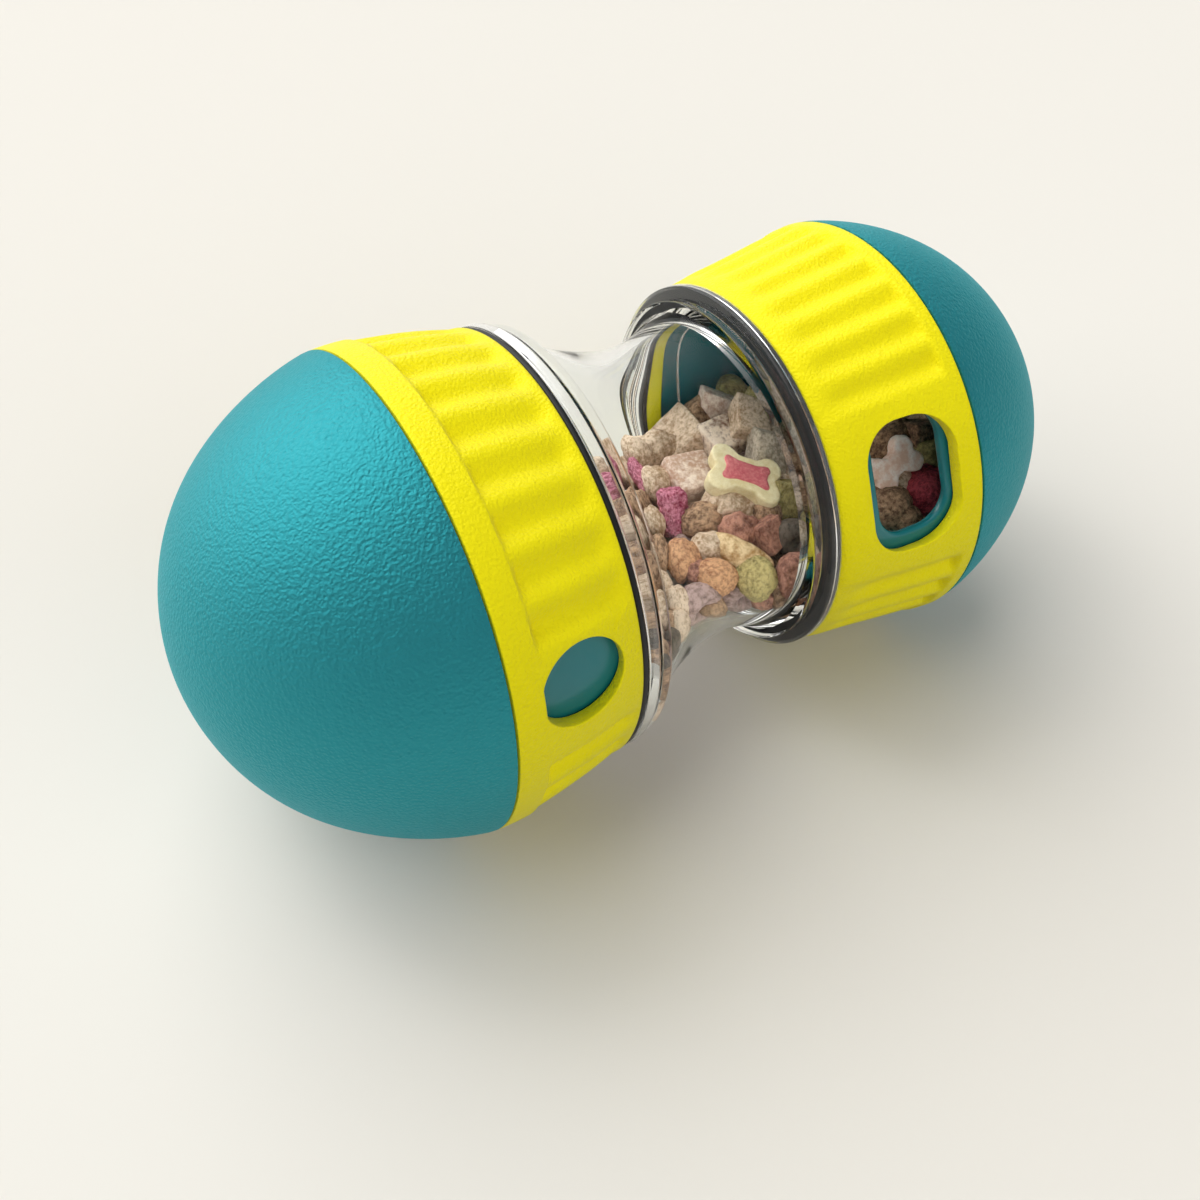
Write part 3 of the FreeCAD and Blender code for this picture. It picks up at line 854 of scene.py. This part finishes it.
formRadius, formSide = 4 * mm, 7.2 * mm
grains = {}      # what roughens the skin of a treat, with the size of the grain in mm
for grain, kind, size in (("bumps", "VORONOI", 1.0), ("coarse", "CLOUDS", 2.6), ("fine", "CLOUDS", 0.9)):
    grains[grain] = bpy.data.textures.new(grain, kind)
    grains[grain].noise_scale = size * mm


def bake(piece, form):      # roughens the skin by each grain that the form names
    for grain, texture in grains.items():
        if grain in form:
            modify(piece, "DISPLACE", texture=texture, strength=form[grain] * mm, mid_level=0.5)
    pick(piece)
    for modifier in list(piece.modifiers):
        bpy.ops.object.modifier_apply(modifier=modifier.name)
    smooth(piece, 55)
    return piece


def makeKibble(name, form):
    bpy.ops.mesh.primitive_ico_sphere_add(subdivisions=4, radius=formRadius)
    return bake(takeNew(name, form["stretch"]), form)


def makeBlock(name, form):
    bpy.ops.mesh.primitive_cube_add(size=formSide)
    piece = takeNew(name, form["stretch"])
    for v in piece.data.vertices:      # no cut cube is quite square
        if v.co.z > 0:
            v.co.x = v.co.x * form["taper"] + form["lean"] * mm
    modify(piece, "BEVEL", width=form["edge"] * mm, segments=2)
    modify(piece, "SUBSURF", subdivision_type="SIMPLE", levels=2, render_levels=2)
    return bake(piece, form)


def makePellet(name, form):
    bpy.ops.mesh.primitive_cylinder_add(vertices=40, radius=formRadius, depth=form["depth"] * mm)
    piece = takeNew(name)
    editMesh("FACE", "DESELECT")
    setMode("OBJECT")
    for face in piece.data.polygons:
        face.select = abs(face.normal.z) > 0.9
    setMode("EDIT")
    for inset in (0.9, 1.1, 1.0):
        bpy.ops.mesh.inset(thickness=inset * mm)
    setMode("OBJECT")
    for v in piece.data.vertices:      # the faces dish in or crown out towards the middle
        share = 1 - math.hypot(v.co.x, v.co.y) / formRadius
        v.co.z += math.copysign(form["crown"] * mm * share, v.co.z)
    modify(piece, "BEVEL", width=form["edge"] * mm, segments=3, limit_method="ANGLE")
    modify(piece, "SUBSURF", subdivision_type="SIMPLE", levels=1, render_levels=1)
    return bake(piece, form)


def makeHoop(name, form):
    bpy.ops.mesh.primitive_torus_add(
        major_segments=48, minor_segments=24,
        major_radius=form["middle"] * mm, minor_radius=form["thick"] * mm)
    return bake(takeNew(name, form["stretch"]), form)


def makeBerry(name, form):
    bpy.ops.mesh.primitive_cylinder_add(vertices=32, radius=form["radius"] * mm, depth=form["length"] * mm)
    piece = takeNew(name)
    modify(piece, "BEVEL", width=1.2 * mm, segments=4, limit_method="ANGLE")
    modify(piece, "REMESH", mode="VOXEL", voxel_size=0.3 * mm)
    return bake(piece, form)


def makeBean(name, form):
    bpy.ops.mesh.primitive_uv_sphere_add(segments=40, ring_count=24, radius=formRadius)
    piece = takeNew(name, form["stretch"])
    modify(piece, "SIMPLE_DEFORM", deform_method="BEND", angle=math.radians(form["bend"]), deform_axis="Z")
    return bake(piece, form)


def boneOutline(part):
    # four round lobes joined by a slim middle, as a radius for each direction
    length, width, lobe, count = part["length"], part["width"], part["lobe"], 96
    angles = [math.tau * step / count for step in range(count)]
    radii = []
    for a in angles:
        far = 0
        for sx, sy in ((-1, -1), (-1, 1), (1, -1), (1, 1)):
            cx, cy = sx * (length / 2 - lobe), sy * (width / 2 - lobe)
            off = abs(cx * math.sin(a) - cy * math.cos(a))
            if off < lobe:
                far = max(far, cx * math.cos(a) + cy * math.sin(a) + math.sqrt(lobe * lobe - off * off))
        slim = part["slim"] / 2 / max(abs(math.sin(a)), 1e-3)
        end = (length / 2 - lobe * 0.55) / max(abs(math.cos(a)), 1e-3)
        radii.append(max(far, min(slim, end)))
    for _ in range(2):
        radii = [(radii[i - 1] + 2 * radii[i] + radii[(i + 1) % count]) / 4 for i in range(count)]
    return [(r * math.cos(a), r * math.sin(a)) for a, r in zip(angles, radii)]


def makeBone(name, *parts):      # cream biscuit, where wanted with a raised pink middle of the same form
    pieces = []
    for part in parts:
        outline = boneOutline(part)
        bpy.ops.mesh.primitive_circle_add(vertices=len(outline), radius=mm, fill_type="NGON")
        piece = takeNew(name)
        for v, (x, y) in zip(piece.data.vertices, outline):
            v.co = Vector((x, y, part["from"])) * mm
        editMesh("FACE", "SELECT")
        rise = (0, 0, (part["to"] - part["from"]) * mm)
        bpy.ops.mesh.extrude_region_move(TRANSFORM_OT_translate={"value": rise})
        bpy.ops.mesh.select_all(action="SELECT")
        bpy.ops.mesh.normals_make_consistent(inside=False)
        setMode("OBJECT")
        modify(piece, "BEVEL", width=part["edge"] * mm, segments=4, limit_method="ANGLE")
        modify(piece, "REMESH", mode="VOXEL", voxel_size=0.28 * mm)
        modify(piece, "SMOOTH", factor=0.5, iterations=3)
        dress(bake(piece, part), part["crumb"])
        pieces.append(piece)
    return joined(*pieces)


# Baked biscuit crumb: dull and dry, in patches of tone. The colour also follows the crumb's own bumps, with
# painted light on the high spots and painted shade in the pits between the crumbs.
def biscuit(name, pale, dark, crumbMm=0.7, rough=0.8, depth=0.25):
    look = newMaterial(name)
    place = addNode(look, "TexCoord").outputs["Object"]
    crumb = addNode(look, "TexNoise", {
        "Vector": place, "Scale": 0.8 / (crumbMm * mm), "Detail": 5.0, "Roughness": 0.72})
    patches = addNode(look, "TexNoise", {"Vector": place, "Scale": 130.0, "Detail": 2.0})
    # colour mask from the patches and the crumb's height: painted shade in the low pits, painted light on
    # the high spots
    patchesAndPitShade = addNode(look, "Math", {0: patches, 1: 0.4, 2: crumb}, operation="MULTIPLY_ADD")
    level = addNode(look, "MapRange", {0: patchesAndPitShade, 1: 0.57, 2: 0.8})
    tone = addNode(look, "Mix", {0: level, 6: linear(dark), 7: linear(pale)}, data_type="RGBA")
    bump = addNode(look, "Bump", {"Height": crumb, "Strength": 1.0, "Distance": depth * mm})
    return finishMaterial(look, "BsdfPrincipled", {
        "Base Color": tone.outputs[2], "Roughness": rough, "IOR": 1.4, "Normal": bump})


crumbs = {
    "tan": biscuit("bakedTanBiscuit", "#e5cdb2", "#9e7e5d"),
    "pale": biscuit("bakedPaleBiscuit", "#f4e2d0", "#c19c84", 0.9),
    "crumb": biscuit("coarseWheatCrumb", "#f2ddc6", "#7a523e", 1.1, 0.85, 0.5),
    "grey": biscuit("ryeCrumb", "#cabba6", "#7f7262"),
    "brown": biscuit("roastedMeal", "#c7a17e", "#674b37", 0.7, 0.8, 0.4),
    "red": biscuit("beetMeal", "#c28b74", "#75483a", 0.9, 0.7, 0.4),
    "orange": biscuit("carrotMeal", "#ebb585", "#a36844", 0.6, 0.6, 0.6),
    "olive": biscuit("spinachMeal", "#c4b274", "#7c6e40"),
    "dark": biscuit("charcoalMeal", "#6c5f52", "#302924"),
    "mauve": biscuit("driedMeat", "#bda098", "#765d55", 0.8, 0.5, 0.2),
    "berry": biscuit("freezeDriedBerry", "#dc90a2", "#8a1e3e", 0.5, 0.6, 0.4),
    "crimson": biscuit("driedCranberry", "#d25662", "#7c1322", 0.6, 0.5, 0.5),
    "yellow": biscuit("bakedCheese", "#eacd9e", "#ac814c", 1.2, 0.6, 0.15),
    "cream": biscuit("creamIcing", "#f1e3ba", "#e3d09c", 1.0, 0.6, 0.08),
    "pink": biscuit("pinkIcing", "#e28a88", "#cc5f66", 0.5, 0.7, 0.2),
    "blush": biscuit("whiteBiscuit", "#fdeee2", "#e9c2aa", 1.6, 0.7, 0.15),
}

treatForms = {
    "kibble": makeKibble("kibbleForm", {"stretch": (1, 0.92, 0.88), "coarse": 1.3, "fine": 0.5}),
    "lump": makeKibble("lumpForm", {"stretch": (1.25, 0.95, 0.75), "coarse": 2.2, "fine": 0.7}),
    "cube": makeBlock("cubeForm", {
        "stretch": (1, 0.95, 0.9), "taper": 0.88, "lean": 0.3, "edge": 0.45, "coarse": 0.7, "fine": 0.35}),
    "tile": makeBlock("tileForm", {
        "stretch": (1.1, 1, 0.55), "taper": 0.95, "lean": -0.2, "edge": 0.35, "coarse": 0.5, "fine": 0.3}),
    "wedge": makeBlock("wedgeForm", {
        "stretch": (1.25, 1, 0.8), "taper": 0.3, "lean": 0.8, "edge": 0.35, "coarse": 0.6, "fine": 0.3}),
    "pellet": makePellet("pelletForm", {
        "depth": 5.2, "crown": 0.3, "edge": 0.9, "coarse": 0.9, "fine": 0.35}),
    "disc": makePellet("discForm", {"depth": 4.0, "crown": 0.25, "edge": 1.1, "coarse": 0.7, "fine": 0.4}),
    "hoop": makeHoop("hoopForm", {
        "middle": 2.55, "thick": 2.0, "stretch": (1, 0.85, 1.15), "coarse": 0.7, "fine": 0.2}),
    "berry": makeBerry("berryForm", {"radius": 3.1, "length": 8.6, "bumps": 0.8, "fine": 0.3}),
    "bean": makeBean("beanForm", {"stretch": (1.75, 0.72, 0.66), "bend": 38, "coarse": 0.5}),
    "bone": makeBone(
        "boneForm",
        {"length": 14.8, "width": 10.6, "lobe": 2.6, "slim": 7.4, "from": -1.8, "to": 1.5, "edge": 0.7,
         "fine": 0.12, "crumb": crumbs["cream"]},
        {"length": 9.8, "width": 5.8, "lobe": 1.1, "slim": 4.4, "from": 0.4, "to": 1.8, "edge": 0.3,
         "fine": 0.15, "crumb": crumbs["pink"]}),
    "plainBone": makeBone(
        "plainBoneForm",
        {"length": 12.0, "width": 8.6, "lobe": 2.3, "slim": 4.4, "from": -1.6, "to": 1.6, "edge": 0.7,
         "fine": 0.2, "crumb": crumbs["blush"]}),
}

# Treats that are seen plainly: form, crumb, where the photo shows the middle, half its size
# in mm, its scale and its turn as the viewer sees it (tipped back, tipped aside, rolled).
seenTreats = [
    ("bone", None, 743, 478, 2.4, 1.0, -34, 6, -14),
    ("wedge", "brown", 690, 425, 3.4, 1.0, 30, -20, 35),
    ("tile", "pale", 714, 413, 3.2, 1.1, 25, 15, -12),
    ("cube", "tan", 751, 420, 3.6, 1.15, -25, 10, -8),
    ("wedge", "tan", 681, 443, 3.8, 1.25, 10, 20, -40),
    ("cube", "crumb", 717, 446, 3.8, 1.15, -30, 20, 28),
    ("cube", "grey", 770, 449, 3.8, 1.1, 12, 10, -6),
    ("cube", "pale", 684, 483, 3.8, 1.2, -28, 22, 14),
    ("lump", "tan", 651, 452, 3.8, 1.0, 10, 10, 20),
    ("kibble", "tan", 651, 489, 3.8, 1.1, 0, 30, 0),
    ("kibble", "tan", 625, 459, 3.8, 1.15, 40, 0, 10),
    ("berry", "berry", 669, 514, 3.4, 1.0, -72, 0, 6),
    ("berry", "berry", 628, 484, 3.4, 0.9, 60, 20, 40),
    ("kibble", "brown", 699, 523, 3.6, 0.95, 0, 0, 30),
    ("lump", "tan", 727, 511, 3.8, 1.1, 0, 10, -5),
    ("lump", "red", 737, 534, 3.6, 0.95, 20, 40, -20),
    ("cube", "red", 766, 536, 3.4, 0.85, 20, 30, 40),
    ("kibble", "brown", 766, 513, 3.0, 0.8, 10, 0, 0),
    ("tile", "olive", 792, 498, 3.4, 0.95, 20, 30, 5),
    ("hoop", "dark", 795, 537, 3.6, 0.95, 35, 20, 0),
    ("kibble", "orange", 678, 562, 3.8, 1.05, 0, 20, 60),
    ("kibble", "orange", 712, 578, 3.6, 0.95, 30, 0, 0),
    ("kibble", "red", 694, 573, 2.4, 0.6, 0, 0, 0),
    ("bean", "yellow", 737, 556, 3.0, 0.95, 10, 0, -24),
    ("kibble", "tan", 706, 549, 3.0, 0.8, 0, 0, 0),
    ("disc", "olive", 754, 578, 3.4, 0.98, -18, -22, 0),
    ("disc", "red", 799, 577, 3.6, 1.1, 12, 18, 0),
    ("hoop", "mauve", 697, 614, 3.6, 1.1, 45, 35, 20),
    ("hoop", "mauve", 741, 609, 3.6, 1.12, 50, -38, 50),
    ("kibble", "brown", 661, 628, 2.6, 0.75, 0, 0, 0),
    ("kibble", "tan", 679, 641, 2.6, 0.8, 0, 30, 0),
    ("lump", "dark", 659, 652, 2.4, 0.7, 0, 0, 40),
    ("kibble", "brown", 658, 682, 2.4, 0.7, 0, 60, 0),
    ("kibble", "tan", 645, 590, 2.6, 0.75, 50, 0, 0),
    ("lump", "brown", 643, 560, 2.8, 0.8, 0, 0, 70),
    ("kibble", "brown", 716, 624, 2.2, 0.6, 0, 0, 0),
    ("lump", "red", 772, 618, 2.4, 0.7, 0, 40, 0),
    ("kibble", "tan", 640, 528, 2.8, 0.85, 0, 0, 20),
    ("kibble", "tan", 668, 606, 3.4, 0.9, 0, 0, 0),
    ("cube", "brown", 793, 615, 3.0, 0.8, 30, 20, 10),
    ("plainBone", None, 893, 465, 2.6, 0.85, 15, 10, 42),
    ("kibble", "olive", 932, 460, 3.6, 1.05, 0, 0, 0),
    ("kibble", "crimson", 925, 492, 4.0, 1.25, 0, 0, 40),
    ("kibble", "tan", 896, 484, 3.2, 0.85, 0, 0, 0),
    ("kibble", "brown", 889, 508, 3.8, 1.15, 0, 20, 0),
    ("kibble", "brown", 907, 520, 2.6, 0.7, 0, 0, 0),
    ("cube", "brown", 918, 440, 3.6, 1.0, 20, 30, 10),
    ("lump", "brown", 897, 440, 3.4, 0.95, 0, 0, 30),
]
looseForms = [("kibble", "tan"), ("cube", "tan"), ("pellet", "brown"), ("kibble", "brown"), ("lump", "tan"),
              ("cube", "pale"), ("disc", "olive"), ("kibble", "red"), ("hoop", "mauve"), ("tile", "tan"),
              ("kibble", "orange"), ("pellet", "grey")]


def bodyFor(x):
    low, high = heap["waistSpan"]
    return "left_ring" if x < low else "right_ring" if x > high else "waist"


def placeTreats():
    groups = {}

    def put(form, crumb, spot, scale, turn):
        copy = treatForms[form].copy()
        copy.data = copy.data.copy()
        bpy.context.scene.collection.objects.link(copy)
        if crumb:
            dress(copy, crumbs[crumb])
        copy.data.transform(Matrix.Translation(spot * mm) @ turn.to_4x4() @ Matrix.Scale(scale, 4))
        groups.setdefault((bodyFor(spot.x), form), []).append(copy)

    def turned(angle, axis):
        return Matrix.Rotation(angle, 3, axis)

    pinned = []
    for form, crumb, px, py, size, scale, *tips in seenTreats:
        bone = form in ("bone", "plainBone")
        spot = restingPlace(px, py, size, heap["boneLift"] if bone else 0)
        back, aside, roll = (math.radians(t) for t in tips)
        put(form, crumb, spot, scale, facing @ (turned(roll, "Z") @ turned(aside, "Y") @ turned(back, "X")))
        pinned.append((*spot, size * (heap["boneSize"] if bone else 1.0)))
    spots, radii = settleHeap(pinned)
    rng = random.Random(5)
    for spot, radius in zip(spots, radii):
        form, crumb = rng.choice(looseForms)
        turn = turned(rng.uniform(0, math.tau), "Z") @ turned(rng.uniform(0, math.tau), "X")
        put(form, crumb, Vector(spot), radius / heap["formSize"], turn)
    for (body, form), copies in groups.items():
        piece = joined(*copies)
        piece.name = piece.data.name = form + "Treats_" + body
        layDown(piece)
        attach(piece, body)
    print("scene:", len(pinned), "treats placed and", len(spots), "settled round them")


placeTreats()
for form in treatForms.values():
    bpy.data.objects.remove(form)

# Floor and light, with directions from the toy towards each lamp
studio = {
    "floorTone": "#e8e4db", "floorSize": 6.0, "bounceTone": "#8f8c86", "skyTone": "#f4f6fa", "sky": 0.17,
    "suns": {
        "key": {"from": (-0.45, 0.64, 0.85), "strength": 2.45, "spread": 95, "shine": True},
        "back": {"from": (0, 0.9, 0.45), "strength": 1.15, "spread": 90, "shine": True},
        "fill": {"from": (0.1, -0.95, 0.2), "strength": 1.75, "spread": 90, "shine": False},
    },
    "softbox": {"from": (-0.3, 0.5, 0.85), "distance": 1.2, "size": (0.3, 0.6), "power": 1.5},
}

def addFloor(s):      # painted paper, made darker for bounced light, so that the shadow keeps its depth
    bpy.ops.mesh.primitive_plane_add(size=s["floorSize"], location=(0, 0, 0))
    floor = takeNew("studioFloor")
    look = newMaterial("paintedPaper")
    path = addNode(look, "LightPath")
    bounced = path.outputs["Is Diffuse Ray"]
    tone = addNode(look, "Mix", {
        0: bounced, 6: linear(s["floorTone"]), 7: linear(s["bounceTone"])}, data_type="RGBA")
    dress(floor, finishMaterial(look, "BsdfPrincipled", {
        "Base Color": tone.outputs[2], "Roughness": 0.9, "Specular IOR Level": 0.0}))


def addWorld(s):      # the backdrop is pale where it is seen, also through the tube
    world = bpy.data.worlds.new("studio")
    bpy.context.scene.world = world
    world.use_nodes = True
    world.node_tree.nodes.clear()
    path = addNode(world, "LightPath")
    plain = addNode(world, "Math", {
        0: path.outputs["Is Camera Ray"], 1: path.outputs["Is Transmission Ray"]}, operation="MAXIMUM")
    lit = addNode(world, "Background", {"Color": linear(s["skyTone"]), "Strength": s["sky"]})
    seen = addNode(world, "Background", {"Color": linear(s["floorTone"])})
    mix = addNode(world, "MixShader", {0: plain, 1: lit, 2: seen})
    addNode(world, "OutputWorld", {"Surface": mix})


def addLamp(kind, place):      # a lamp that is aimed at the toy
    bpy.ops.object.light_add(type=kind, location=place)
    lamp = bpy.context.object
    lamp.rotation_mode = "QUATERNION"
    lamp.rotation_quaternion = (-place).to_track_quat("-Z", "Y")
    return lamp


def addSun(s):
    lamp = addLamp("SUN", Vector(s["from"]))
    lamp.data.energy = s["strength"]
    lamp.data.angle = math.radians(s["spread"])
    lamp.visible_glossy = s["shine"]


def addSoftbox(s):      # broad panel that gives the shine on plastic and clear wall
    lamp = addLamp("AREA", Vector(s["from"]).normalized() * s["distance"])
    lamp.data.shape = "RECTANGLE"
    lamp.data.size, lamp.data.size_y = s["size"]
    lamp.data.energy = s["power"]


addFloor(studio)
addWorld(studio)
for sun in studio["suns"].values():
    addSun(sun)
addSoftbox(studio["softbox"])
bpy.context.scene.view_settings.view_transform = "Standard"
print("scene: studio lit")
